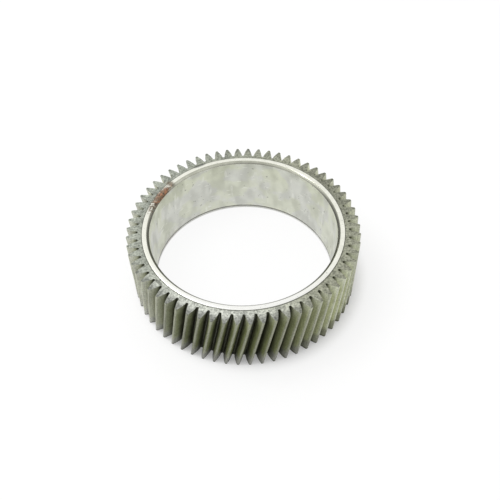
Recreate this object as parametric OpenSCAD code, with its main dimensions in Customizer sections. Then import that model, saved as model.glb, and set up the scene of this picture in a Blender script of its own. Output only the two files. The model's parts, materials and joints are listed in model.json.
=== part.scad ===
// Crankshaft gear: a steel ring with helical teeth outside and a plain bore that is shrunk on its seat.
// The ring is turned as a blank, with a raised land round the bore at each end, and the teeth are cut in it.
// Millimetres, axis on +Z, origin on the axis at the lower land, one tooth centred on +X at mid width.

/* [Teeth] */
// Number of teeth round the rim, more where the bore and the land need a larger ring
tooth_count = 62; // [60:1:90]
// Module in the section square to the teeth
normal_module = 2.5; // [2:0.05:3.5]
// Pressure angle in the section square to the teeth
pressure_angle = 18.5; // [15:0.5:20]
// Slant of the teeth at the pitch circle, right hand
helix_angle = 10; // [0:0.5:25]
// Height of the tooth above the pitch circle
addendum = 4; // [2.5:0.05:4.5]
// Depth of the tooth space below the pitch circle
dedendum = 4.2; // [3:0.05:4.5]
// Shift of the tooth profile away from the axis, which makes the teeth thicker
profile_shift = 0.6; // [-0.5:0.05:1]
// Height above the root at which the flank starts to round into it
root_round = 1.6; // [0.4:0.05:2]
// Chamfer at 45 degrees on the tooth tips at each end
tip_chamfer = 0.2; // [0.1:0.1:2]

/* [Ring] */
// Diameter of the bore
bore_d = 133.5; // [110:0.5:180]
// Chamfer at 45 degrees at each end of the bore
bore_chamfer = 1.7; // [0.5:0.1:3]
// Radial width of the raised land round the bore
land_w = 3.1; // [2:0.1:5]
// Height of each land above the ends of the teeth
land_step = 0.3; // [0.1:0.05:1]
// Width of the ring over both lands
ring_w = 50; // [20:0.5:80]

/* [Hidden] */

steel = [0.55, 0.55, 0.48];
full_turn = 360;

// Radii of the turned ring
bore_r = bore_d / 2;
land_inner_r = bore_r + bore_chamfer;
land_outer_r = land_inner_r + land_w;

// Teeth that go round, so that the roots keep at least this margin outside the land
root_margin = 0.5;
least_pitch_r = land_outer_r + root_margin + dedendum;
least_teeth = ceil(2 * least_pitch_r * cos(helix_angle) / normal_module);
teeth = max(tooth_count, least_teeth);

// Radii of the gear in the section square to its axis
pitch_r = teeth * normal_module / cos(helix_angle) / 2;
tip_r = pitch_r + addendum;
root_r = pitch_r - dedendum;
transverse_angle = atan(tan(pressure_angle) / cos(helix_angle));
base_r = pitch_r * cos(transverse_angle);

// The involute is drawn by its roll angle, and runs a little past the turned tip
tip_overrun = 0.3;
flank_start_r = max(root_r + root_round, base_r);
roll_start = roll_at(flank_start_r);
roll_end = roll_at(tip_r + tip_overrun);
shift_turn = full_turn * profile_shift * tan(transverse_angle) / (2 * PI * pitch_r);
half_tooth_at_base = full_turn / (4 * teeth) + roll_lag(roll_at(pitch_r)) + shift_turn;
half_pitch = full_turn / (2 * teeth);

// Fineness of the flank, of the root, of the twist along the teeth and of the turned ring
flank_steps = 4;
root_steps = 2;
helix_slices = 2;
ring_facets = 2 * teeth;

// The cutting prism runs past both ends of the blank
end_overrun = 1;
prism_h = ring_w + 2 * end_overrun;
prism_twist = full_turn * prism_h * tan(helix_angle) / (2 * PI * pitch_r);

// Angle of roll, in radians of unwound base circle, at which the involute reaches a radius
function roll_at(radius) = sqrt(pow(radius / base_r, 2) - 1);

// Angle by which the involute lags behind its start on the base circle, in degrees
function roll_lag(roll) = roll * full_turn / (2 * PI) - atan(roll);

// Point at a radius and an angle
function polar(radius, angle) = radius * [cos(angle), sin(angle)];

// Point on the leading flank of a tooth centred on angle zero
function flank_point(roll) =
    polar(base_r * sqrt(1 + roll * roll), half_tooth_at_base - roll_lag(roll));

// Point on a curve from one end to the other that leaves both along the lines to the corner
function corner_curve(from, corner, to, t) =
    pow(1 - t, 2) * from + 2 * t * (1 - t) * corner + t * t * to;

// Corner under the start of the flank, on the line across the floor of the tooth space
function root_corner(flank, floor_mid) =
    let (across = [-sin(half_pitch), cos(half_pitch)])
    floor_mid + across * (flank - floor_mid) * across;

// Leading half of one tooth, from the middle of the tooth space up to the tip
function leading_half() =
    let (flank = flank_point(roll_start))
    let (floor_mid = polar(root_r, half_pitch))
    let (corner = root_corner(flank, floor_mid))
    let (roll_step = (roll_end - roll_start) / flank_steps)
    concat(
        [for (i = [0 : root_steps - 1]) corner_curve(floor_mid, corner, flank, i / root_steps)],
        [for (i = [0 : flank_steps]) flank_point(roll_start + i * roll_step)]
    );

// Trailing half, the mirror of the leading half without the shared floor point
function trailing_half(half) = [for (i = [1 : len(half) - 1]) [half[i].x, -half[i].y]];

// Points of one tooth against the clock, from its trailing root to the middle of the next space
function tooth_points() =
    let (half = leading_half())
    let (back = trailing_half(half))
    let (last = len(half) - 1)
    concat(back, [for (i = [0 : last]) half[last - i]]);

// A list of points turned about the axis
function turned(points, angle) =
    [for (p = points) [p.x * cos(angle) - p.y * sin(angle), p.x * sin(angle) + p.y * cos(angle)]];

// Outline of all the teeth in the section square to the axis
module tooth_outline() {
    tooth = tooth_points();
    polygon([for (i = [0 : teeth - 1]) each turned(tooth, i * full_turn / teeth)]);
}

// Prism with the outline of the teeth, twisted right hand, with one tooth on +X at mid width
module tooth_prism() {
    translate([0, 0, -end_overrun])
        rotate(-prism_twist / 2)
            linear_extrude(height = prism_h, twist = -prism_twist, slices = helix_slices)
                tooth_outline();
}

// Half section of the turned blank: chamfered bore, lands, end faces and chamfered rim
module blank_section() {
    lower_face = land_step;
    upper_face = ring_w - land_step;
    polygon([
        [bore_r, bore_chamfer],
        [land_inner_r, 0],
        [land_outer_r, 0],
        [land_outer_r, lower_face],
        [tip_r - tip_chamfer, lower_face],
        [tip_r, lower_face + tip_chamfer],
        [tip_r, upper_face - tip_chamfer],
        [tip_r - tip_chamfer, upper_face],
        [land_outer_r, upper_face],
        [land_outer_r, ring_w],
        [land_inner_r, ring_w],
        [bore_r, ring_w - bore_chamfer]
    ]);
}

// The gear: what the blank and the toothed prism share
module crankshaft_gear() {
    color(steel)
        intersection() {
            rotate_extrude($fn = ring_facets)
                blank_section();
            tooth_prism();
        }
}

crankshaft_gear();
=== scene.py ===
import json
import logging
import math
from dataclasses import dataclass
from enum import Enum

import bpy
from mathutils import Matrix, Vector

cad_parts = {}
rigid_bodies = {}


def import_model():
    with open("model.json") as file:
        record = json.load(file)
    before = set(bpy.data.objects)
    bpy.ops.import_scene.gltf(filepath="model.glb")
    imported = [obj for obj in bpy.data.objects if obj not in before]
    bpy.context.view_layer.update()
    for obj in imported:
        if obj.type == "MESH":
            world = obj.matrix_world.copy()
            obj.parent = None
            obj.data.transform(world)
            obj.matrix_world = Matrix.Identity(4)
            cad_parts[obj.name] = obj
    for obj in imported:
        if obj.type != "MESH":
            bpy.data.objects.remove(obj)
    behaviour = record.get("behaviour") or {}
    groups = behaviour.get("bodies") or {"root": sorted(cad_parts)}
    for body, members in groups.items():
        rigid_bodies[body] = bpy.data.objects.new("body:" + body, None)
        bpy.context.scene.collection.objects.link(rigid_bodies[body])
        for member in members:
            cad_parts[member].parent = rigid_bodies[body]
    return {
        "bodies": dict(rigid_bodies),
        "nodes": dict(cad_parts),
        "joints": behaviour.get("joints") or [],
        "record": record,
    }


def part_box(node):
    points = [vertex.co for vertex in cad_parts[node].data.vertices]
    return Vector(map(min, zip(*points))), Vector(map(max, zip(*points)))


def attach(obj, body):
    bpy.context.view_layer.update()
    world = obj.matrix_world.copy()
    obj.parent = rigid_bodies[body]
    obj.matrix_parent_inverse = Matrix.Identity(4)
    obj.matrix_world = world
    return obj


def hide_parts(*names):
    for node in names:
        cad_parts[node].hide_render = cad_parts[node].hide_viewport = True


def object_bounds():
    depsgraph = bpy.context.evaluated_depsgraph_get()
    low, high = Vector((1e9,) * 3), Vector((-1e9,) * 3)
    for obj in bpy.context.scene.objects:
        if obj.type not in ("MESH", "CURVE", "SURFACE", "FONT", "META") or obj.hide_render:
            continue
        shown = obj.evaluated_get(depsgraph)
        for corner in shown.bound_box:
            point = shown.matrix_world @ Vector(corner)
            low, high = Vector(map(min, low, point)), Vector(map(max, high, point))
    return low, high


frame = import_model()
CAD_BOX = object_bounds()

LOG = logging.getLogger("crankshaft_gear")

NODE = "crankshaft_gear"
BODY = "root"
MM = 0.001
QUARTER_TURN = 90.0
MIX_SHARE, MIX_FIRST, MIX_SECOND, MIX_RESULT = 0, 6, 7, 2

Colour = tuple[float, float, float]
Point = tuple[float, float, float]
Feeds = dict[int | str, object]


class Zone(Enum):
    """Surfaces of the gear that have a finish of their own."""

    FLANK = 0
    END_FACE = 1
    LAND = 2
    CHAMFER = 3
    BORE = 4


Rows = list[tuple[list[Point], Zone]]


def millimetres(value: float) -> float:
    """Turns millimetres into metres."""
    return value * MM


@dataclass
class Wire:
    """Output of a node, which adds the nodes for what is done with it to the same board."""

    board: "Board"
    socket: bpy.types.NodeSocket

    def __add__(self, other: "Wire | float") -> "Wire":
        """Adds a number."""
        return self.board.math("ADD", self, other)

    def __sub__(self, other: "Wire | float") -> "Wire":
        """Takes a number away."""
        return self.board.math("SUBTRACT", self, other)

    def __rsub__(self, other: float) -> "Wire":
        """Takes the wire from a number."""
        return self.board.math("SUBTRACT", other, self)

    def __mul__(self, other: "Wire | float") -> "Wire":
        """Multiplies by a number."""
        return self.board.math("MULTIPLY", self, other)

    def __truediv__(self, other: "Wire | float") -> "Wire":
        """Divides by a number."""
        return self.board.math("DIVIDE", self, other)

    def root(self) -> "Wire":
        """Takes the square root."""
        return self.board.math("SQRT", self)

    def most(self, other: "Wire | float") -> "Wire":
        """Takes the larger of two numbers."""
        return self.board.math("MAXIMUM", self, other)

    def weighed(self, other: "Wire", share: float) -> "Wire":
        """Mixes in another wire, with the share of this one."""
        return self * share + other * (1.0 - share)

    def wobbled(self, noise: "Wire", reach: float) -> "Wire":
        """Lets the number wander with a noise round one half, over a reach in all."""
        return self + (noise - 0.5) * reach

    def rise(self, low: "Wire | float", high: "Wire | float", start: float = 0.0, end: float = 1.0) -> "Wire":
        """Maps low to start and high to end, smoothly between them and level beyond."""
        feeds = {"Value": self, "From Min": low, "From Max": high, "To Min": start, "To Max": end}
        return self.board.wire("ShaderNodeMapRange", feeds, interpolation_type="SMOOTHSTEP")

    def lines(self, scale: float, detail: float = 3.0) -> "Wire":
        """Draws turned or ground lines along a length, with values round one half."""
        feeds = {"W": self, "Scale": scale, "Detail": detail}
        return self.board.wire("ShaderNodeTexNoise", feeds, noise_dimensions="1D")

    def blend(self, first: "Wire | Colour", second: "Wire | Colour") -> "Wire":
        """Mixes two colours, with the wire as the share of the second."""
        feeds = {MIX_SHARE: self, MIX_FIRST: first, MIX_SECOND: second}
        return self.board.wire("ShaderNodeMix", feeds, MIX_RESULT, data_type="RGBA")

    def shade(self, factor: "Wire") -> "Wire":
        """Makes a colour lighter or darker by a factor."""
        return self.board.wire("ShaderNodeVectorMath", {0: self, "Scale": factor}, operation="SCALE")

    def bump(self, depth: float, share: float) -> "Wire":
        """Turns heights into a bumped normal, with the depth in metres that 1 stands for."""
        return self.board.wire("ShaderNodeBump", {"Strength": share, "Distance": depth, "Height": self})


class Board:
    """Board on which the nodes of one tree are set."""

    def __init__(self, tree: bpy.types.NodeTree) -> None:
        """Clears a tree and keeps it."""
        self.tree = tree
        tree.nodes.clear()

    def feed(self, socket: bpy.types.NodeSocket, value: object) -> None:
        """Links a wire to a socket, or sets the socket to a plain value.

        Args:
            socket: Input socket.
            value: Wire, output socket, number, text, vector or colour.
        """
        source = value.socket if isinstance(value, Wire) else value
        if isinstance(source, bpy.types.NodeSocket):
            self.tree.links.new(source, socket)
        elif socket.type == "RGBA":
            socket.default_value = (*source, 1.0)
        else:
            socket.default_value = source

    def add(self, kind: str, feeds: Feeds, **settings: object) -> bpy.types.Node:
        """Adds a node with its settings and feeds.

        Args:
            kind: Blender's name for the kind of node.
            feeds: Wires or values by the number or the name of the input.
            settings: Properties of the node by name.

        Returns:
            The new node.
        """
        node = self.tree.nodes.new(kind)
        for name, value in settings.items():
            setattr(node, name, value)
        for key, value in feeds.items():
            self.feed(node.inputs[key], value)
        return node

    def wire(self, kind: str, feeds: Feeds, output: int | str = 0, **settings: object) -> Wire:
        """Adds a node as add does, and gives one of its outputs."""
        return Wire(self, self.add(kind, feeds, **settings).outputs[output])

    def math(self, operation: str, first: object, second: object = 0.0, clamp: bool = False) -> Wire:
        """Adds a Math node, whose result may be held between 0 and 1."""
        return self.wire("ShaderNodeMath", {0: first, 1: second}, operation=operation, use_clamp=clamp)

    def split(self, vector: Wire) -> list[Wire]:
        """Takes a vector apart."""
        node = self.add("ShaderNodeSeparateXYZ", {0: vector})
        return [Wire(self, socket) for socket in node.outputs]

    def stored(self, name: str) -> Wire:
        """Reads a number that the mesh stores under a name."""
        return self.wire("ShaderNodeAttribute", {}, "Fac", attribute_name=name)


@dataclass
class Place:
    """Wires that say where on the ring a point lies."""

    board: Board
    point: Wire
    x: Wire
    y: Wire
    height: Wire
    radius: Wire

    @classmethod
    def on(cls, board: Board) -> "Place":
        """Reads the object's own coordinates.

        Args:
            board: Board on which the nodes are set.

        Returns:
            The wires.
        """
        point = board.wire("ShaderNodeTexCoord", {}, "Object")
        x, y, height = board.split(point)
        return cls(board, point, x, y, height, (x * x + y * y).root())

    def towards(self, angle: float) -> Wire:
        """Measures the distance from the axis towards an angle in degrees, from +X against the clock."""
        turn = math.radians(angle)
        return self.x * math.cos(turn) + self.y * math.sin(turn)


@dataclass(frozen=True)
class Ramp:
    """Smooth change from start to end while a value goes from low to high."""

    low: float
    high: float
    start: float = 0.0
    end: float = 1.0

    def on(self, value: Wire) -> Wire:
        """Maps a wire."""
        return value.rise(self.low, self.high, self.start, self.end)


@dataclass(frozen=True)
class Band(Ramp):
    """Ramp whose low and high are millimetres, counted from an origin."""

    def on(self, value: Wire, origin: float = 0.0) -> Wire:
        """Maps a wire in metres."""
        low, high = (origin + millimetres(distance) for distance in (self.low, self.high))
        return value.rise(low, high, self.start, self.end)


@dataclass(frozen=True)
class Side(Band):
    """Side of the ring that differs, with its low and high as millimetres from the axis towards it."""

    angle: float = 0.0

    def mask(self, place: Place) -> Wire:
        """Draws the side."""
        return self.on(place.towards(self.angle))


@dataclass(frozen=True)
class Grain:
    """Noise in space, told by its cells per metre, its finer layers and its factor along the axis."""

    scale: float
    detail: float = 3.0
    roughness: float = 0.55
    upright: float = 1.0

    def at(self, point: Wire) -> Wire:
        """Reads the noise at a place.

        Args:
            point: Place in metres.

        Returns:
            Values round one half.
        """
        factors = {0: point, 1: (1.0, 1.0, self.upright)}
        spot = point.board.wire("ShaderNodeVectorMath", factors, operation="MULTIPLY")
        feeds = {"Vector": spot, "Scale": self.scale, "Detail": self.detail, "Roughness": self.roughness}
        return point.board.wire("ShaderNodeTexNoise", feeds, noise_dimensions="3D")


@dataclass(frozen=True)
class Speckle:
    """Noise in space that a ramp sifts."""

    grain: Grain
    sift: Ramp

    def at(self, point: Wire) -> Wire:
        """Reads the sifted noise at a place."""
        return self.sift.on(self.grain.at(point))


@dataclass(frozen=True)
class Patch:
    """Oval mark on the ring, told by its angle, and by its radius and its reach in millimetres."""

    angle: float
    radius: float
    along: float
    across: float
    ragged: float = 0.5
    grain: Grain = Grain(700.0, 4.0, 0.65)
    soft: float = 0.35

    def mask(self, place: Place) -> Wire:
        """Draws where the mark lies.

        Args:
            place: Wires of the place.

        Returns:
            1 in the middle of the mark and 0 outside it.
        """
        along = place.towards(self.angle + QUARTER_TURN) / millimetres(self.along)
        across = (place.radius - millimetres(self.radius)) / millimetres(self.across)
        distance = (along * along + across * across).root()
        reach = distance.wobbled(self.grain.at(place.point), 2.0 * self.ragged)
        inside = reach.rise(1.0 - self.soft, 1.0 + self.soft, 1.0, 0.0)
        return inside * place.board.math("GREATER_THAN", place.towards(self.angle), 0.0)


@dataclass
class Skin:
    """What a finish gives its shader: colour, roughness, relief, and how metallic it is where that varies."""

    colour: Wire
    rough: Wire
    relief: Wire
    metallic: Wire | None = None


@dataclass(frozen=True)
class Rust:
    """Rust on the land and the chamfer, in one patch that thins out to flecks at one end."""

    heavy: Patch = Patch(angle=148.6, radius=68.6, along=9.4, across=2.9, ragged=0.9)
    heavy_cover: float = 0.96
    stain: Patch = Patch(angle=138.4, radius=70.3, along=2.4, across=3.2, soft=0.6)
    stain_cover: float = 0.85
    sprinkle: Patch = Patch(
        angle=153.0, radius=69.4, along=15.0, across=3.6, grain=Grain(600.0, 4.0, 0.65), soft=0.4
    )
    flecks: Speckle = Speckle(Grain(738.0, 2.0, 0.5), Ramp(0.43, 0.51, 0.15, 0.95))
    spots: Speckle = Speckle(Grain(492.0, 2.0, 0.5), Ramp(0.44, 0.6))
    pits: Speckle = Speckle(Grain(820.0, 3.0, 0.6), Ramp(0.40, 0.54, 0.9, 0.0))
    dark: Colour = (0.060, 0.034, 0.020)
    brown: Colour = (0.220, 0.135, 0.075)
    orange: Colour = (0.420, 0.180, 0.082)
    tan: Colour = (0.165, 0.125, 0.072)
    metal_lost: float = 0.9

    def mask(self, place: Place) -> Wire:
        """Draws where the rust lies.

        Args:
            place: Wires of the place.

        Returns:
            The cover of the rust.
        """
        heavy = self.heavy.mask(place) * self.heavy_cover
        stain = self.stain.mask(place) * self.stain_cover
        sprinkle = self.sprinkle.mask(place) * self.flecks.at(place.point)
        return heavy.most(stain).most(sprinkle)

    def colour(self, place: Place) -> Wire:
        """Mixes the browns of the rust."""
        red = self.spots.at(place.point).blend(self.brown, self.orange)
        return self.pits.at(place.point).blend(self.heavy.mask(place).blend(self.tan, red), self.dark)

    def over(self, place: Place, metal: Skin, gain: float) -> Skin:
        """Lays the rust on bare metal.

        Args:
            place: Wires of the place.
            metal: Skin of the bare metal.
            gain: Roughness that the rust adds.

        Returns:
            The skin with the rust on it.
        """
        rust = self.mask(place)
        colour = rust.blend(metal.colour, self.colour(place))
        rough = place.board.math("ADD", metal.rough, rust * gain, clamp=True)
        return Skin(colour, rough, metal.relief, 1.0 - rust * self.metal_lost)


@dataclass(frozen=True)
class Finish:
    """Common part of the finishes on the ring."""

    name: str = "finish"
    metallic: float = 0.6
    specular: float = 0.5
    relief: float = millimetres(0.01)
    relief_share: float = 0.3

    def material(self, ring: "GearRing") -> bpy.types.Material:
        """Makes the material of the finish.

        Args:
            ring: Ring that wears the finish.

        Returns:
            The material.
        """
        material = bpy.data.materials.new(self.name)
        material.use_nodes = True
        board = Board(material.node_tree)
        skin = self.paint(Place.on(board), ring)
        feeds = {
            "Base Color": skin.colour,
            "Metallic": self.metallic,
            "Roughness": skin.rough,
            "Specular IOR Level": self.specular,
            "Normal": skin.relief.bump(self.relief, self.relief_share),
        }
        shader = board.add("ShaderNodeBsdfPrincipled", feeds)
        if skin.metallic is not None:
            board.feed(shader.inputs["Metallic"], skin.metallic)
        board.add("ShaderNodeOutputMaterial", {"Surface": shader.outputs[0]})
        return material

    def paint(self, place: Place, ring: "GearRing") -> Skin:
        """Mixes the skin, which each finish does in its own way."""
        raise NotImplementedError


@dataclass(frozen=True)
class ToothFinish(Finish):
    """Matt olive-grey flanks, worn pale along the crests, with painted shade in the roots, at the front and
    along the lower edge, and painted light at the left, the right-back and the lower ends.
    """

    name: str = "tooth_flank_steel"
    metallic: float = 0.12
    specular: float = 0.25
    relief: float = millimetres(0.03)
    relief_share: float = 0.5
    # Painted shade: the flanks darken from the middle colour to the root colour towards the floor of each
    # space.
    root: Colour = (0.050, 0.053, 0.028)
    middle: Colour = (0.522, 0.550, 0.330)
    root_shade: Band = Band(0.3, 4.4)
    root_shade_ragged: float = millimetres(2.0)
    crest: Colour = (0.618, 0.638, 0.510)
    near_end: Band = Band(-11.0, 0.0)
    near_end_share: float = 0.85
    # Painted light: the flanks are paler at the left and at the right-back, where more light falls.
    painted_light_left: Colour = (0.690, 0.694, 0.632)
    painted_light_left_side: Side = Side(20.0, 75.0, end=0.85, angle=-167.0)
    pale: Colour = (0.740, 0.745, 0.570)
    painted_light_side: Side = Side(52.0, 80.0, end=0.8, angle=36.0)
    # Painted shade: darker, more olive flanks and crests at the front, darkest low in the spaces near the
    # roots.
    front_shade: Colour = (0.208, 0.236, 0.088)
    front_shade_start: float = millimetres(1.0)
    shaded_front_side: Side = Side(46.0, 80.0, end=0.9, angle=-101.0)
    front_shade_top: Band = Band(-12.0, 0.0, 1.0, 0.82)
    gap_shade: Band = Band(38.0, 12.0, 0.0, 0.95)
    gap: Band = Band(5.5, 1.0)
    worn: Band = Band(-1.5, -0.2, 0.0, 0.9)
    shaded_crest: Colour = (0.275, 0.285, 0.205)
    # Painted light and floor reflection: the lower ends of the teeth are pale grey at the left, darker at the
    # right and at the front, and dark towards the roots.
    lower_end: Band = Band(12.0, 5.0, 0.0, 0.85)
    lower_ragged: float = millimetres(9.0)
    grey: Colour = (0.690, 0.696, 0.645)
    dim: Colour = (0.240, 0.247, 0.172)
    lower_light_side: Side = Side(-40.0, 60.0, angle=-160.0)
    shaded_lower_grey: Colour = (0.285, 0.284, 0.262)
    # Painted shade: a dark line along the lower edge of the teeth, where they stand on the floor.
    floor_contact_shade: Band = Band(0.3, 2.0, 0.75, 0.0)
    streak: Grain = Grain(900.0, upright=0.06)
    streak_share: float = 0.7
    blotch: Grain = Grain(160.0, 4.0, 0.6)
    specks: Speckle = Speckle(Grain(1000.0, 2.0, 0.6), Ramp(0.36, 0.64, -0.17, 0.17))
    tone_reach: float = 0.25
    contrast: float = 0.9
    least_tone: float = 0.55
    rough: Ramp = Ramp(0.3, 0.7, 0.56, 0.40)

    def untwisted(self, place: Place, ring: "GearRing") -> Wire:
        """Turns the place back along the teeth, so that streaks follow them."""
        feeds = {"Vector": place.point, "Angle": (place.height - ring.mid_height) * -ring.twist}
        return place.board.wire("ShaderNodeVectorRotate", feeds, rotation_type="Z_AXIS")

    def shaded_front(self, place: Place, ring: "GearRing", level: Wire, colour: Wire, front_shade_cover: Wire) -> Wire:
        """Paints shade on the flanks at the front, darkest low in the spaces and towards the roots, and lays
        the worn crests.

        Args:
            place: Wires of the place.
            ring: Ring that wears the finish.
            level: Radius that wanders with the blotches.
            colour: Colour of the flanks without the painted shade at the front.
            front_shade_cover: Cover of the painted shade at the front.

        Returns:
            The colour.
        """
        # Painted shade at the front, darker towards the roots and low in the spaces.
        root_shade = level.rise(ring.root_radius + self.front_shade_start, ring.tip_radius)
        colour = front_shade_cover.blend(colour, root_shade.blend(self.root, self.front_shade))
        gap_shade = self.gap_shade.on(place.height) * self.gap.on(level, ring.root_radius) * front_shade_cover
        colour = gap_shade.blend(colour, self.root)
        crest = front_shade_cover.blend(self.crest, self.shaded_crest)
        return self.worn.on(level, ring.tip_radius).blend(colour, crest)

    def paint(self, place: Place, ring: "GearRing") -> Skin:
        """Mixes the olive flanks, the painted shade in the roots and at the front, the painted light at two
        sides, the worn crests, and the lower ends with painted floor light and a painted shade line.

        Args:
            place: Wires of the place.
            ring: Ring that wears the finish.

        Returns:
            The skin.
        """
        streaks = self.streak.at(self.untwisted(place, ring))
        blotch = self.blotch.at(place.point)
        level = place.radius.wobbled(blotch, self.root_shade_ragged)
        deep = ring.root_radius + millimetres(self.root_shade.low)
        up = level.rise(deep, ring.tip_radius)
        # Painted shade: darker towards the floor of each space.
        colour = self.root_shade.on(level, ring.root_radius).blend(self.root, self.middle)
        near_end = self.near_end.on(place.height, ring.face_height)
        near_end = near_end * level.rise(deep, ring.pitch_radius, 0.0, self.near_end_share)
        colour = near_end.blend(colour, self.crest)
        # Painted light: paler flanks at the left and at the right-back.
        for side, tint in ((self.painted_light_left_side, self.painted_light_left), (self.painted_light_side, self.pale)):
            colour = (side.mask(place) * up).blend(colour, tint)
        # Painted shade: darker at the front, a little less near the upper ends.
        front_shade_cover = self.shaded_front_side.mask(place) * self.front_shade_top.on(place.height, ring.face_height)
        colour = self.shaded_front(place, ring, level, colour, front_shade_cover)
        # Painted light and floor reflection on the lower ends, pale at the left, darker at the right and the
        # front.
        lower_light = self.lower_light_side.mask(place).blend(self.dim, self.grey)
        lower = up.blend(self.root, front_shade_cover.blend(lower_light, self.shaded_lower_grey))
        colour = self.lower_end.on(place.height.wobbled(blotch, self.lower_ragged)).blend(colour, lower)
        # Painted shade line along the lower edge of the teeth.
        colour = self.floor_contact_shade.on(place.height, ring.land_step).blend(colour, self.root)
        tone = streaks.weighed(blotch, self.streak_share) + self.specks.at(place.point)
        tone = tone.wobbled(place.board.stored(ring.tone_name), self.tone_reach)
        colour = colour.shade(tone * self.contrast + self.least_tone)
        return Skin(colour, self.rough.on(blotch), streaks)


@dataclass(frozen=True)
class EndFaceFinish(Finish):
    """Matt machined grey of the tooth ends, speckled, with a painted highlight at the front and the
    left-back, painted shade at the right-back, and a painted shade line along the foot of the land and the
    tooth edges.
    """

    name: str = "tooth_end_steel"
    relief: float = millimetres(0.05)
    relief_share: float = 0.45
    cool: Colour = (0.322, 0.342, 0.292)
    warm: Colour = (0.318, 0.326, 0.250)
    tint: Band = Band(-60.0, 60.0)
    tint_ragged: float = millimetres(90.0)
    neutral: Colour = (0.324, 0.332, 0.304)
    neutral_share: float = 0.85
    # Painted highlight: the end faces are paler and more neutral at the front, most near the roots, and a
    # little paler at the left-back. Painted shade: darker at the right-back.
    painted_light_side: Side = Side(42.0, 80.0, angle=-106.0)
    pale_end: float = millimetres(1.0)
    pale_inner: float = 0.8
    pale_outer: float = -0.12
    back_left_light_side: Side = Side(45.0, 78.0, end=0.3, angle=152.0)
    shaded_patch: Patch = Patch(
        angle=27.0, radius=74.0, along=26.0, across=12.0, ragged=0.3, grain=Grain(120.0, 4.0, 0.65), soft=0.7
    )
    shaded_share: float = 0.27
    # Painted shade: a dark line along the foot of the land and round the edges of the tooth ends. The same
    # near-black colour also draws the smudge and the nick.
    near_black: Colour = (0.070, 0.072, 0.055)
    foot: Band = Band(0.2, 0.9, 0.72, 0.0)
    rim_share: float = 0.6
    smudge: Patch = Patch(angle=-141.8, radius=74.0, along=3.6, across=1.1, ragged=0.2, soft=0.3)
    nick: Patch = Patch(angle=115.2, radius=72.0, along=4.6, across=1.3, ragged=0.35, soft=0.4)
    mark_share: float = 0.6
    rust: Rust = Rust()
    bleed_share: float = 0.8
    speck: Grain = Grain(720.0, 4.0, 0.7)
    speck_share: float = 0.7
    blotch: Grain = Grain(140.0, 3.0, 0.6)
    tones: Ramp = Ramp(0.36, 0.64, 0.52, 1.4)
    turned_lines: float = 2600.0
    turned_layers: float = 2.0
    rough: Ramp = Ramp(0.3, 0.7, 0.58, 0.42)

    def paint(self, place: Place, ring: "GearRing") -> Skin:
        """Mixes the speckle, the painted highlight and shade on the sides, the painted shade line and the
        marks.

        Args:
            place: Wires of the place.
            ring: Ring that wears the finish.

        Returns:
            The skin.
        """
        speck = self.speck.at(place.point)
        blotch = self.blotch.at(place.point)
        # Painted highlight at the front and the left-back, painted shade at the right-back.
        side = self.painted_light_side.mask(place)
        colour = self.tint.on(place.x.wobbled(blotch, self.tint_ragged)).blend(self.cool, self.warm)
        colour = (side * self.neutral_share).blend(colour, self.neutral)
        inner, outer = ring.root_radius, ring.pitch_radius
        pale = side * place.radius.rise(inner, outer + self.pale_end, self.pale_inner, self.pale_outer)
        light = self.back_left_light_side.mask(place) * place.radius.rise(inner, outer)
        dull = 1.0 - self.shaded_patch.mask(place) * self.shaded_share
        tone = self.tones.on(speck.weighed(blotch, self.speck_share)) * (pale + 1.0 + light) * dull
        colour = colour.shade(tone)
        # Painted shade line at the foot of the land and at the tooth edges.
        rim = place.board.stored(ring.rim_name) * self.rim_share
        colour = self.foot.on(place.radius, ring.land_outer).most(rim).blend(colour, self.near_black)
        marks = self.smudge.mask(place).most(self.nick.mask(place)) * self.mark_share
        colour = marks.blend(colour, self.near_black)
        bleed = self.rust.stain.mask(place) * self.bleed_share
        colour = bleed.blend(colour, self.rust.colour(place))
        turned = place.radius.lines(self.turned_lines, self.turned_layers)
        return Skin(colour, self.rough.on(speck), speck.weighed(turned, self.speck_share))


@dataclass(frozen=True)
class LandFinish(Finish):
    """Bright ground land, with a painted highlight at the front, rust at one place and one grey nick."""

    name: str = "ground_land_steel"
    metallic: float = 1.0
    steel: Colour = (0.925, 0.925, 0.835)
    dull: Colour = (0.800, 0.804, 0.712)
    # Painted highlight: the land is brighter and whiter at the front.
    clear: Colour = (0.945, 0.945, 0.930)
    front_highlight_side: Side = Side(25.0, 68.0, end=0.75, angle=-92.0)
    ground_lines: float = 5200.0
    cloud: Grain = Grain(220.0, 3.0, 0.6)
    line_share: float = 0.5
    grounds: Ramp = Ramp(0.38, 0.6)
    pits: Speckle = Speckle(Grain(520.0, 1.0, 0.5), Ramp(0.69, 0.75, 0.0, 0.6))
    nick: Patch = Patch(angle=115.2, radius=71.6, along=4.8, across=1.2, ragged=0.35, soft=0.4)
    nick_share: float = 0.85
    nick_grey: Colour = (0.30, 0.31, 0.29)
    rust: Rust = Rust()
    rust_rough: float = 0.5
    rough: Ramp = Ramp(0.3, 0.7, 0.32, 0.24)

    def paint(self, place: Place, ring: "GearRing") -> Skin:
        """Mixes the ground lines, the painted highlight at the front, the nick and the rust.

        Args:
            place: Wires of the place.
            ring: Ring that wears the finish.

        Returns:
            The skin.
        """
        lines = place.radius.lines(self.ground_lines)
        cloud = self.cloud.at(place.point)
        colour = self.grounds.on(lines.weighed(cloud, self.line_share)).blend(self.dull, self.steel)
        # Painted highlight at the front.
        colour = self.front_highlight_side.mask(place).blend(colour, self.clear)
        marks = self.pits.at(place.point).most(self.nick.mask(place) * self.nick_share)
        colour = marks.blend(colour, self.nick_grey)
        return self.rust.over(place, Skin(colour, self.rough.on(cloud), lines), self.rust_rough)


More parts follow.
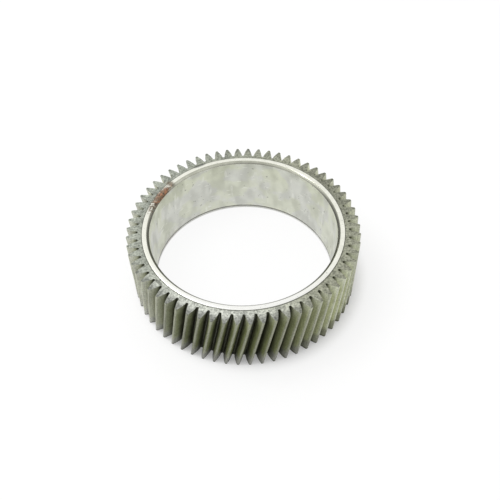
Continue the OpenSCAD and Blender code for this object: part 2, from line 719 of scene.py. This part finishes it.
@dataclass(frozen=True)
class ChamferFinish(Finish):
    """Turned chamfer of the bore, darker than the land, with a painted shade line along the bore edge, widest
    at the back, and rust at one place.
    """

    name: str = "bore_chamfer_steel"
    metallic: float = 1.0
    relief: float = millimetres(0.02)
    relief_share: float = 0.4
    dark: Colour = (0.480, 0.486, 0.405)
    steel: Colour = (0.610, 0.616, 0.525)
    turned_lines: float = 4200.0
    cloud: Grain = Grain(180.0, 3.0, 0.6)
    line_share: float = 0.5
    turns: Ramp = Ramp(0.36, 0.64)
    # Painted shade: a dark line along the bore edge of the chamfer, widest at the back.
    near_black: Colour = (0.060, 0.060, 0.050)
    wide_shade_side: Side = Side(10.0, 58.0, 0.95, 0.0, angle=90.0)
    grime_flat: float = millimetres(0.9)
    shade_width: Ramp = Ramp(0.0, 0.95, millimetres(0.45), millimetres(1.9))
    shade_share: float = 0.43
    shade_least: Side = Side(-10.0, -50.0, 0.2, 0.5, angle=90.0)
    rust: Rust = Rust()
    rust_rough: float = 0.45
    rough: Ramp = Ramp(0.3, 0.7, 0.24, 0.15)

    def paint(self, place: Place, ring: "GearRing") -> Skin:
        """Mixes the turned lines, the painted shade line and the rust.

        Args:
            place: Wires of the place.
            ring: Ring that wears the finish.

        Returns:
            The skin.
        """
        lines = place.height.lines(self.turned_lines)
        cloud = self.cloud.at(place.point)
        colour = self.turns.on(lines.weighed(cloud, self.line_share)).blend(self.dark, self.steel)
        # Painted shade line along the bore edge.
        wide_shade = self.wide_shade_side.mask(place)
        start = wide_shade * self.grime_flat + ring.bore_radius
        end = self.shade_width.on(wide_shade) + ring.bore_radius
        share = wide_shade * self.shade_share + self.shade_least.mask(place)
        colour = (place.radius.rise(start, end, 1.0, 0.0) * share).blend(colour, self.near_black)
        return self.rust.over(place, Skin(colour, self.rough.on(cloud), lines), self.rust_rough)


@dataclass(frozen=True)
class BoreFinish(Finish):
    """Ground bore wall, pale grey with olive clouds, light scuffs, dark specks, painted shade low down away
    from the back and a painted shade line at the lower edge.
    """

    name: str = "ground_bore_steel"
    metallic: float = 0.8
    cool: Colour = (0.665, 0.675, 0.622)
    olive: Colour = (0.665, 0.685, 0.560)
    clouds: Speckle = Speckle(Grain(55.0, 2.0, 0.5), Ramp(0.42, 0.56))
    upper_hue: float = 0.3
    smear: Grain = Grain(105.0, 1.5, 0.5, 0.55)
    smears: Ramp = Ramp(0.40, 0.60, 0.95, 1.05)
    crumbs: Speckle = Speckle(Grain(200.0), Ramp(0.36, 0.64, -0.02, 0.02))
    # Painted shade: the wall darkens a little low down, away from the back.
    dim_side: Side = Side(60.0, 35.0, end=0.07, angle=92.0)
    dim_height: Band = Band(40.0, 15.0)
    pale: Colour = (0.870, 0.880, 0.820)
    flat_scuffs: Speckle = Speckle(Grain(140.0, 1.0, 0.5, 5.0), Ramp(0.69, 0.73))
    tall_scuffs: Speckle = Speckle(Grain(240.0, 1.0, 0.5, 0.3), Ramp(0.66, 0.74, 0.0, 0.7))
    scuff_share: float = 0.6
    dark: Colour = (0.300, 0.300, 0.250)
    specks: Speckle = Speckle(Grain(420.0, 1.0, 0.5), Ramp(0.71, 0.77))
    speck_share: float = 0.7
    # Painted shade: a dark line just above the lower chamfer, where the wall meets the floor.
    near_black: Colour = (0.075, 0.073, 0.060)
    lower_edge: Band = Band(0.7, 1.2, 0.92, 0.0)
    ground_lines: float = 3600.0
    rough: Ramp = Ramp(0.3, 0.7, 0.5, 0.34)

    def paint(self, place: Place, ring: "GearRing") -> Skin:
        """Mixes the clouds, the scuffs, the specks, the painted shade low down and the painted shade line at
        the lower edge.

        Args:
            place: Wires of the place.
            ring: Ring that wears the finish.

        Returns:
            The skin.
        """
        point = place.point
        smear = self.smear.at(point)
        upper = place.height.rise(ring.mid_height, ring.width, -self.upper_hue, self.upper_hue)
        colour = (self.clouds.at(point) + upper).blend(self.cool, self.olive)
        tone = self.smears.on(smear) + self.crumbs.at(point)
        # Painted shade low on the wall, away from the back.
        dim = self.dim_side.mask(place) * self.dim_height.on(place.height)
        colour = colour.shade(tone - dim)
        flat = self.flat_scuffs.at(point)
        tall = self.tall_scuffs.at(point)
        colour = (flat.most(tall) * self.scuff_share).blend(colour, self.pale)
        specks = self.specks.at(point) * self.speck_share
        colour = specks.blend(colour, self.dark)
        # Painted shade line at the lower edge.
        colour = self.lower_edge.on(place.height, ring.bore_chamfer).blend(colour, self.near_black)
        return Skin(colour, self.rough.on(smear), place.height.lines(self.ground_lines))


FINISHES: dict[Zone, Finish] = {
    Zone.FLANK: ToothFinish(),
    Zone.END_FACE: EndFaceFinish(),
    Zone.LAND: LandFinish(),
    Zone.CHAMFER: ChamferFinish(),
    Zone.BORE: BoreFinish(),
}


@dataclass
class GearRing:
    """Ring with helical teeth, a chamfered bore and a raised land round the bore at each end."""

    tip_radius: float
    width: float
    bore_radius: float
    bore_length: float
    tooth_count: int = 62
    pressure_angle: float = math.radians(18.5)
    helix_angle: float = math.radians(10.0)
    addendum: float = millimetres(4.0)
    dedendum: float = millimetres(4.2)
    profile_shift: float = millimetres(0.6)
    root_round: float = millimetres(1.6)
    tip_chamfer: float = millimetres(0.2)
    land_width: float = millimetres(3.1)
    land_step: float = millimetres(0.3)
    edge_round: float = millimetres(0.1)
    rim_width: float = millimetres(0.4)
    tip_round: float = millimetres(0.1)
    mouth_round: float = millimetres(0.12)
    land_round: float = millimetres(0.1)
    root_steps: int = 5
    flank_steps: int = 4
    flank_rows: int = 8
    bore_rows: int = 7
    face_shares: tuple[float, ...] = (0.75, 0.5, 0.25)
    sharp_angle: float = math.radians(20.0)
    seam: float = millimetres(0.004)
    tone_seed: int = 17
    tone_name: str = "tooth_tone"
    rim_name: str = "tooth_rim"
    zone_name: str = "zone"
    piece_name: str = "gear_ring"

    @classmethod
    def from_frame(cls, packed: dict) -> "GearRing":
        """Takes the ring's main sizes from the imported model.


        Returns:
            The ring.
        """
        low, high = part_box(NODE)
        bore = next(mount for mount in packed["record"]["mounts"] if mount["name"] == "bore")
        radius = millimetres(bore["dims"]["r_mm"])
        length = millimetres(bore["dims"]["length_mm"])
        return cls((high[0] - low[0]) / 2.0, high[2] - low[2], radius, length)

    @property
    def mid_height(self) -> float:
        """Height of the middle of the ring."""
        return self.width / 2.0

    @property
    def pitch_radius(self) -> float:
        """Radius of the pitch circle."""
        return self.tip_radius - self.addendum

    @property
    def root_radius(self) -> float:
        """Radius of the floor of the tooth spaces."""
        return self.pitch_radius - self.dedendum

    @property
    def transverse_angle(self) -> float:
        """Pressure angle in the section square to the axis."""
        return math.atan(math.tan(self.pressure_angle) / math.cos(self.helix_angle))

    @property
    def base_radius(self) -> float:
        """Radius of the circle from which the involutes unwind."""
        return self.pitch_radius * math.cos(self.transverse_angle)

    @property
    def twist(self) -> float:
        """Turn of the teeth along the axis, in radians a metre."""
        return math.tan(self.helix_angle) / self.pitch_radius

    @property
    def bore_chamfer(self) -> float:
        """Size of the chamfer at each mouth of the bore."""
        return (self.width - self.bore_length) / 2.0

    @property
    def land_inner(self) -> float:
        """Radius at which the land starts."""
        return self.bore_radius + self.bore_chamfer

    @property
    def land_outer(self) -> float:
        """Radius at which the land ends."""
        return self.land_inner + self.land_width

    @property
    def half_pitch(self) -> float:
        """Angle from the middle of a tooth to the middle of the next space."""
        return math.pi / self.tooth_count

    @property
    def face_height(self) -> float:
        """Height of the upper tooth ends."""
        return self.width - self.land_step

    def roll_at(self, radius: float) -> float:
        """Gives the roll of the involute at a radius."""
        return math.sqrt(max((radius / self.base_radius) ** 2 - 1.0, 0.0))

    def flank_point(self, radius: float) -> Vector:
        """Finds a point of the leading flank of the tooth on the X axis.

        Args:
            radius: Radius of the point.

        Returns:
            The point in the plane.
        """
        def lag(roll: float) -> float:
            """Gives the angle by which the involute lags at a roll."""
            return roll - math.atan(roll)

        shift = self.profile_shift * math.tan(self.transverse_angle) / self.pitch_radius
        at_pitch = self.half_pitch / 2.0 + shift + lag(self.roll_at(self.pitch_radius))
        angle = at_pitch - lag(self.roll_at(radius))
        return Vector((radius * math.cos(angle), radius * math.sin(angle)))

    def half_outline(self) -> list[Vector]:
        """Draws half a tooth from the middle of the space to the middle of the tip.

        Returns:
            The points in the plane.
        """
        start_radius = max(self.root_radius + self.root_round, self.base_radius)
        start = self.flank_point(start_radius)
        gap = Vector((math.cos(self.half_pitch), math.sin(self.half_pitch)))
        across = Vector((-gap.y, gap.x))
        floor = gap * self.root_radius
        corner = floor + across * across.dot(start - floor)
        points = [curve(floor, corner, start, i / self.root_steps) for i in range(self.root_steps)]
        shoulder = self.tip_radius - self.tip_chamfer
        for i in range(self.flank_steps + 1):
            points.append(self.flank_point(start_radius + (shoulder - start_radius) * i / self.flank_steps))
        edge = self.flank_point(self.tip_radius)
        below = self.flank_point(self.tip_radius - self.tip_round)
        turn = math.atan2(edge.y, edge.x) - self.tip_round / self.tip_radius
        top = Vector((math.cos(turn), math.sin(turn))) * self.tip_radius
        points += [below, curve(below, edge, top, 0.5), top, Vector((self.tip_radius, 0.0))]
        return points

    def outline(self) -> list[Vector]:
        """Draws one tooth against the clock, from the space before it to the space after it."""
        half = self.half_outline()
        return [Vector((p.x, -p.y)) for p in half] + half[-2::-1]

    def outward(self, points: list[Vector]) -> list[Vector]:
        """Finds the directions that point out of the tooth.

        Args:
            points: Outline of the tooth.

        Returns:
            One direction for each point.
        """
        found = [points[0].normalized()]
        for before, after in zip(points, points[2:]):
            run = (after - before).normalized()
            found.append(Vector((run.y, -run.x)))
        return found + [points[-1].normalized()]

    def tooth_row(self, depth: float, inset: float) -> list[Point]:
        """Draws the tooth at a depth under the upper tooth ends.

        Args:
            depth: Depth under the tooth ends, at most half of the width.
            inset: Distance by which the outline draws in.

        Returns:
            The points of the row.
        """
        points = self.outline()
        limit = self.tip_radius - max(self.tip_chamfer - depth, 0.0)
        row = []
        for point, normal in zip(points, self.outward(points)):
            drawn = point - normal * inset
            if drawn.length > limit:
                drawn = drawn * (limit / drawn.length)
            row.append((drawn.x, drawn.y, self.face_height - depth))
        return row

    def hoop(self, radius: float, height: float) -> list[Point]:
        """Draws the turned surface at a radius and a height, as wide as one tooth.

        Args:
            radius: Radius of the hoop.
            height: Height of the hoop.

        Returns:
            The points of the row.
        """
        columns = len(self.outline()) - 1
        angles = [self.half_pitch * (2.0 * i / columns - 1.0) for i in range(columns + 1)]
        return [(radius * math.cos(a), radius * math.sin(a), height) for a in angles]

    def turned_rows(self) -> Rows:
        """Draws the upper end from the bore to the foot of the land.

        Returns:
            The rows, each with the surface that follows it.
        """
        wall = Vector((self.bore_radius, self.mid_height))
        mouth = Vector((self.bore_radius, self.width - self.bore_chamfer))
        inner = Vector((self.land_inner, self.width))
        outer = Vector((self.land_outer, self.width))
        foot = Vector((self.land_outer, self.face_height))
        rows = []
        for before, at, after, reach, inside, beyond in (
            (wall, mouth, inner, self.mouth_round, Zone.CHAMFER, Zone.CHAMFER),
            (mouth, inner, outer, self.mouth_round, Zone.CHAMFER, Zone.LAND),
            (inner, outer, foot, self.land_round, Zone.LAND, Zone.END_FACE),
        ):
            start = at + (before - at).normalized() * reach
            end = at + (after - at).normalized() * reach
            for share, zone in ((0.0, inside), (0.5, inside), (1.0, beyond)):
                spot = curve(start, at, end, share)
                rows.append((self.hoop(spot.x, spot.y), zone))
        rows.append((self.hoop(foot.x, foot.y), Zone.END_FACE))
        return rows

    def end_rows(self) -> Rows:
        """Draws the upper end from the bore to the flanks.

        Returns:
            The rows, each with the surface that follows it.
        """
        rows = self.turned_rows()
        foot = rows[-1][0]
        rim = self.tooth_row(0.0, self.edge_round + self.rim_width)
        for share in self.face_shares:
            between = [tuple(Vector(a).lerp(Vector(b), 1.0 - share)) for a, b in zip(foot, rim)]
            rows.append((between, Zone.END_FACE))
        rows.append((rim, Zone.END_FACE))
        rows.append((self.tooth_row(0.0, self.edge_round), Zone.END_FACE))
        slope = self.edge_round * (1.0 - math.sqrt(0.5))
        for depth, inset in ((slope, slope), (self.edge_round, 0.0), (self.tip_chamfer, 0.0)):
            rows.append((self.tooth_row(depth, inset), Zone.FLANK))
        return rows

    def sector_rows(self) -> Rows:
        """Draws the closed loop of rows round the section of one tooth.

        Returns:
            The rows, each with the surface that follows it.
        """
        upper = self.end_rows()
        bore_top = upper[0][0][0][2]
        bore_span = 2.0 * bore_top - self.width
        rows = []
        for i in range(1, self.bore_rows + 1):
            height = self.width - bore_top + bore_span * i / (self.bore_rows + 1)
            rows.append((self.hoop(self.bore_radius, height), Zone.BORE))
        rows += upper
        last = self.tip_chamfer
        span = self.face_height - self.land_step - 2.0 * last
        flat = self.tooth_row(last, 0.0)
        for i in range(1, self.flank_rows + 1):
            height = self.face_height - last - span * i / (self.flank_rows + 1)
            rows.append(([(x, y, height) for x, y, _ in flat], Zone.FLANK))
        zones = [Zone.BORE] + [zone for _, zone in upper[:-1]]
        for (points, _), zone in zip(reversed(upper), reversed(zones)):
            rows.append(([(x, y, self.width - z) for x, y, z in points], zone))
        return rows

    def sector_mesh(self) -> bpy.types.Mesh:
        """Makes the mesh of one tooth and the ring under it, not yet twisted.

        Returns:
            The mesh, with the surface of each face in an attribute.
        """
        rows = self.sector_rows()
        columns = len(rows[0][0])
        points = [point for row, _ in rows for point in row]
        faces, zones = [], []
        for i, (_, zone) in enumerate(rows):
            here, there = i * columns, (i + 1) % len(rows) * columns
            for j in range(columns - 1):
                faces.append((here + j, there + j, there + j + 1, here + j + 1))
                zones.append(zone.value)
        mesh = bpy.data.meshes.new(f"{self.piece_name}_sector")
        mesh.from_pydata(points, [], faces)
        mesh.attributes.new(self.zone_name, "INT", "FACE").data.foreach_set("value", zones)
        flanks = [zone is Zone.FLANK for _, zone in rows]
        rims = [float(flanks[i] or flanks[i - 1]) for i in range(len(rows)) for _ in range(columns)]
        mesh.attributes.new(self.rim_name, "FLOAT", "POINT").data.foreach_set("value", rims)
        return mesh

    def tree(self, values: dict[str, object]) -> bpy.types.NodeTree:
        """Builds the tree that twists one tooth, sets it round the axis and joins the ring.

        Args:
            values: Values of the tree's inputs by name.

        Returns:
            The Geometry Nodes tree.
        """
        tree = bpy.data.node_groups.new("gear_ring_round", "GeometryNodeTree")
        kinds = {int: "NodeSocketInt", float: "NodeSocketFloat", bpy.types.Material: "NodeSocketMaterial"}
        tree.interface.new_socket(name="Sector", in_out="INPUT", socket_type="NodeSocketGeometry")
        for name, value in values.items():
            tree.interface.new_socket(name=name, in_out="INPUT", socket_type=kinds[type(value)])
        tree.interface.new_socket(name="Ring", in_out="OUTPUT", socket_type="NodeSocketGeometry")
        board = Board(tree)
        given = board.add("NodeGroupInput", {}).outputs
        place = board.wire("GeometryNodeInputPosition", {})
        turn = (board.split(place)[2] - given["Mid Height"]) * given["Twist"]
        twist = {"Vector": place, "Angle": turn}
        twisted = board.wire("ShaderNodeVectorRotate", twist, rotation_type="Z_AXIS")
        sector = board.wire("GeometryNodeSetPosition", {"Geometry": given["Sector"], "Position": twisted})
        index = board.wire("GeometryNodeInputIndex", {})
        euler = board.wire("ShaderNodeCombineXYZ", {2: index / given["Teeth"] * math.tau})
        spin = board.wire("FunctionNodeEulerToRotation", {0: euler})
        points = board.wire("GeometryNodePoints", {"Count": given["Teeth"]})
        spread = {"Points": points, "Instance": sector, "Rotation": spin}
        copies = board.wire("GeometryNodeInstanceOnPoints", spread)
        draw = {"ID": index, "Seed": given["Tone Seed"]}
        tone = board.wire("FunctionNodeRandomValue", draw, 1, data_type="FLOAT")
        store = {"Geometry": copies, "Name": self.tone_name, "Value": tone}
        toned = board.wire("GeometryNodeStoreNamedAttribute", store, data_type="FLOAT", domain="INSTANCE")
        whole = board.wire("GeometryNodeRealizeInstances", {0: toned})
        whole = board.wire("GeometryNodeMergeByDistance", {"Geometry": whole, "Distance": given["Seam"]})
        zones = board.add("GeometryNodeInputNamedAttribute", {"Name": self.zone_name}, data_type="INT")
        zone_value = next(s for s in zones.outputs if s.enabled and s.name == "Attribute")
        for zone in Zone:
            same = board.add("FunctionNodeCompare", {}, data_type="INT", operation="EQUAL")
            first, second = [s for s in same.inputs if s.enabled and s.name in ("A", "B")]
            board.feed(first, zone_value)
            board.feed(second, zone.value)
            dress = {"Geometry": whole, "Selection": same.outputs[0], "Material": given[zone.name]}
            whole = board.wire("GeometryNodeSetMaterial", dress)
        board.add("NodeGroupOutput", {0: whole})
        return tree

    def build(self) -> bpy.types.Object:
        """Makes the whole ring as one plain mesh with its finishes.

        Returns:
            The finished piece.
        """
        source = bpy.data.objects.new(self.piece_name, self.sector_mesh())
        bpy.context.scene.collection.objects.link(source)
        values: dict[str, object] = {
            "Teeth": self.tooth_count,
            "Twist": self.twist,
            "Mid Height": self.mid_height,
            "Seam": self.seam,
            "Tone Seed": self.tone_seed,
            **{zone.name: finish.material(self) for zone, finish in FINISHES.items()},
        }
        modifier = source.modifiers.new("round", "NODES")
        modifier.node_group = self.tree(values)
        for item in modifier.node_group.interface.items_tree:
            if item.in_out == "INPUT" and item.name in values:
                modifier[item.identifier] = values[item.name]
        graph = bpy.context.evaluated_depsgraph_get()
        mesh = bpy.data.meshes.new_from_object(source.evaluated_get(graph), depsgraph=graph)
        source.modifiers.remove(modifier)
        source.data = mesh
        mesh.name = self.piece_name
        mesh.shade_smooth()
        mesh.set_sharp_from_angle(angle=self.sharp_angle)
        return source

    def dress(self) -> bpy.types.Object:
        """Builds the ring and lets it stand for the CAD node.

        Returns:
            The finished piece.
        """
        piece = self.build()
        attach(piece, BODY)
        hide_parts(NODE)
        return piece


def curve(start: Vector, corner: Vector, end: Vector, share: float) -> Vector:
    """Finds the point at a share of a curve that leaves both ends along the lines to the corner."""
    rest = 1.0 - share
    return start * (rest * rest) + corner * (2.0 * share * rest) + end * (share * share)


@dataclass(frozen=True)
class FloorFinish:
    """Pale floor with painted light: it glows white in the open and most inside the bore, where it hides the
    shade, and glows less round and under the ring, so that the shadow shows there, shifted to one side as a
    painted shadow.
    """

    name: str = "studio_floor_white"
    pale: Colour = (0.80, 0.80, 0.80)
    # Painted light: the glow is strongest inside the bore, where it hides the floor's shade, and weakest
    # round and under the ring, where the rendered shadow shows.
    inner_glow: Band = Band(66.3, 67.3, 0.90, 0.0)
    outer_glow: Band = Band(79.0, 92.0, 0.20, 0.74)
    shadow_side: float = 8.0
    shadow_reach: float = millimetres(3.5)

    def material(self) -> bpy.types.Material:
        """Makes the floor's material.

        Returns:
            The material.
        """
        material = bpy.data.materials.new(self.name)
        material.use_nodes = True
        board = Board(material.node_tree)
        place = Place.on(board)
        # Painted shadow: the weak glow is shifted towards one side, so that the shadow is deepest there.
        aside = place.towards(self.shadow_side) / place.radius
        clear = place.radius - aside * self.shadow_reach
        strength = self.inner_glow.on(place.radius).most(self.outer_glow.on(clear))
        seen = board.wire("ShaderNodeBsdfDiffuse", {"Color": 1.0 - strength})
        glow = board.wire("ShaderNodeEmission", {"Strength": strength})
        both = board.wire("ShaderNodeAddShader", {0: seen, 1: glow})
        rays = board.add("ShaderNodeLightPath", {}).outputs
        looked = board.math("MAXIMUM", rays["Is Camera Ray"], rays["Is Glossy Ray"])
        looked = looked.most(rays["Is Transmission Ray"])
        plain = board.wire("ShaderNodeBsdfDiffuse", {"Color": self.pale})
        choice = board.wire("ShaderNodeMixShader", {0: looked, 1: plain, 2: both})
        board.add("ShaderNodeOutputMaterial", {"Surface": choice})
        return material


@dataclass
class Studio:
    """Pale floor, soft sky that is dim at the horizon and at the front, and a lamp above the left."""

    floor_half: float = 4.0
    floor_drop: float = millimetres(0.02)
    white: Colour = (1.0, 1.0, 1.0)
    climb: Ramp = Ramp(0.0, 0.5, 0.28, 0.90)
    front_angle: float = -102.0
    front: Ramp = Ramp(0.5, 0.95, 1.0, 0.35)
    back: Ramp = Ramp(-0.75, -0.25, 1.12, 1.0)
    lamp_place: Point = (-0.68, 0.12, 1.20)
    lamp_side: float = 0.7
    lamp_watts: float = 7.0

    def floor(self) -> None:
        """Lays the floor just under the ring."""
        half = self.floor_half
        height = CAD_BOX[0][2] - self.floor_drop
        mesh = bpy.data.meshes.new("studio_floor")
        corners = [(-half, -half), (half, -half), (half, half), (-half, half)]
        mesh.from_pydata([(x, y, height) for x, y in corners], [], [(0, 1, 2, 3)])
        mesh.materials.append(FloorFinish().material())
        floor = bpy.data.objects.new("studio_floor", mesh)
        bpy.context.scene.collection.objects.link(floor)

    def sky(self) -> None:
        """Makes the world a soft sky that is brightest overhead and dimmest low at the front."""
        world = bpy.data.worlds.new("studio_sky")
        world.use_nodes = True
        board = Board(world.node_tree)
        x, y, height = board.split(board.wire("ShaderNodeTexCoord", {}, "Generated"))
        turn = math.radians(self.front_angle)
        ahead = x * math.cos(turn) + y * math.sin(turn)
        light = self.climb.on(height) * self.front.on(ahead) * self.back.on(ahead)
        sky = board.wire("ShaderNodeBackground", {"Color": self.white, "Strength": light})
        board.add("ShaderNodeOutputWorld", {"Surface": sky})
        bpy.context.scene.world = world

    def lamp(self) -> None:
        """Hangs a square soft lamp that is turned to the ring."""
        data = bpy.data.lights.new("top_lamp", "AREA")
        data.shape = "SQUARE"
        data.size = self.lamp_side
        data.energy = self.lamp_watts
        lamp = bpy.data.objects.new("top_lamp", data)
        lamp.location = self.lamp_place
        lamp.rotation_euler = Vector(self.lamp_place).to_track_quat("Z", "Y").to_euler()
        bpy.context.scene.collection.objects.link(lamp)

    def build(self) -> None:
        """Makes the floor, the sky and the lamp."""
        self.floor()
        self.sky()
        self.lamp()


@dataclass
class PhotoCamera:
    """Camera that looks at the middle of the upper land from the front and above."""

    target_height: float
    azimuth: float = math.radians(-1.843)
    elevation: float = math.radians(48.0748)
    roll: float = math.radians(1.4379)
    distance: float = millimetres(459.9)
    focal_pixels: float = 650.0
    image_pixels: float = 500.0
    target_pixel: tuple[float, float] = (243.957, 226.289)
    sensor: float = 36.0
    clip: float = 0.01

    def build(self) -> None:
        """Makes the camera and hands it to the scene."""
        data = bpy.data.cameras.new("photo_camera")
        data.sensor_width = self.sensor
        data.lens = self.focal_pixels / self.image_pixels * self.sensor
        data.clip_start = self.clip
        camera = bpy.data.objects.new("photo_camera", data)
        sine, cosine = math.sin(self.elevation), math.cos(self.elevation)
        right = Vector((1.0, 0.0, 0.0))
        up = Vector((0.0, sine, cosine))
        back = Vector((0.0, -cosine, sine))
        centre = self.image_pixels / 2.0
        aside = (self.target_pixel[0] - centre) / self.focal_pixels
        above = (centre - self.target_pixel[1]) / self.focal_pixels
        aim = Vector((0.0, 0.0, -1.0)).rotation_difference(Vector((aside, above, -1.0))).to_matrix()
        view = Matrix.Rotation(self.roll, 3, "Z") @ aim @ Matrix((right, up, back))
        round_axis = Matrix.Rotation(self.azimuth, 3, "Z")
        turn = (round_axis @ view.transposed()).to_4x4()
        place = round_axis @ back * self.distance + Vector((0.0, 0.0, self.target_height))
        camera.matrix_world = Matrix.Translation(place) @ turn
        bpy.context.scene.collection.objects.link(camera)
        bpy.context.scene.camera = camera


def main() -> None:
    """Builds the camera, the studio and the ring, and reports each."""
    logging.basicConfig(level=logging.INFO, format="%(name)s: %(message)s")
    bpy.context.scene.view_settings.view_transform = "Standard"
    ring = GearRing.from_frame(frame)
    PhotoCamera(target_height=ring.width).build()
    LOG.info("camera set")
    Studio().build()
    LOG.info("studio set")
    piece = ring.dress()
    triangles = sum(len(face.vertices) - 2 for face in piece.data.polygons)
    LOG.info("%s: %d triangles, %d materials", piece.name, triangles, len(piece.data.materials))


if __name__ == "__main__":
    main()
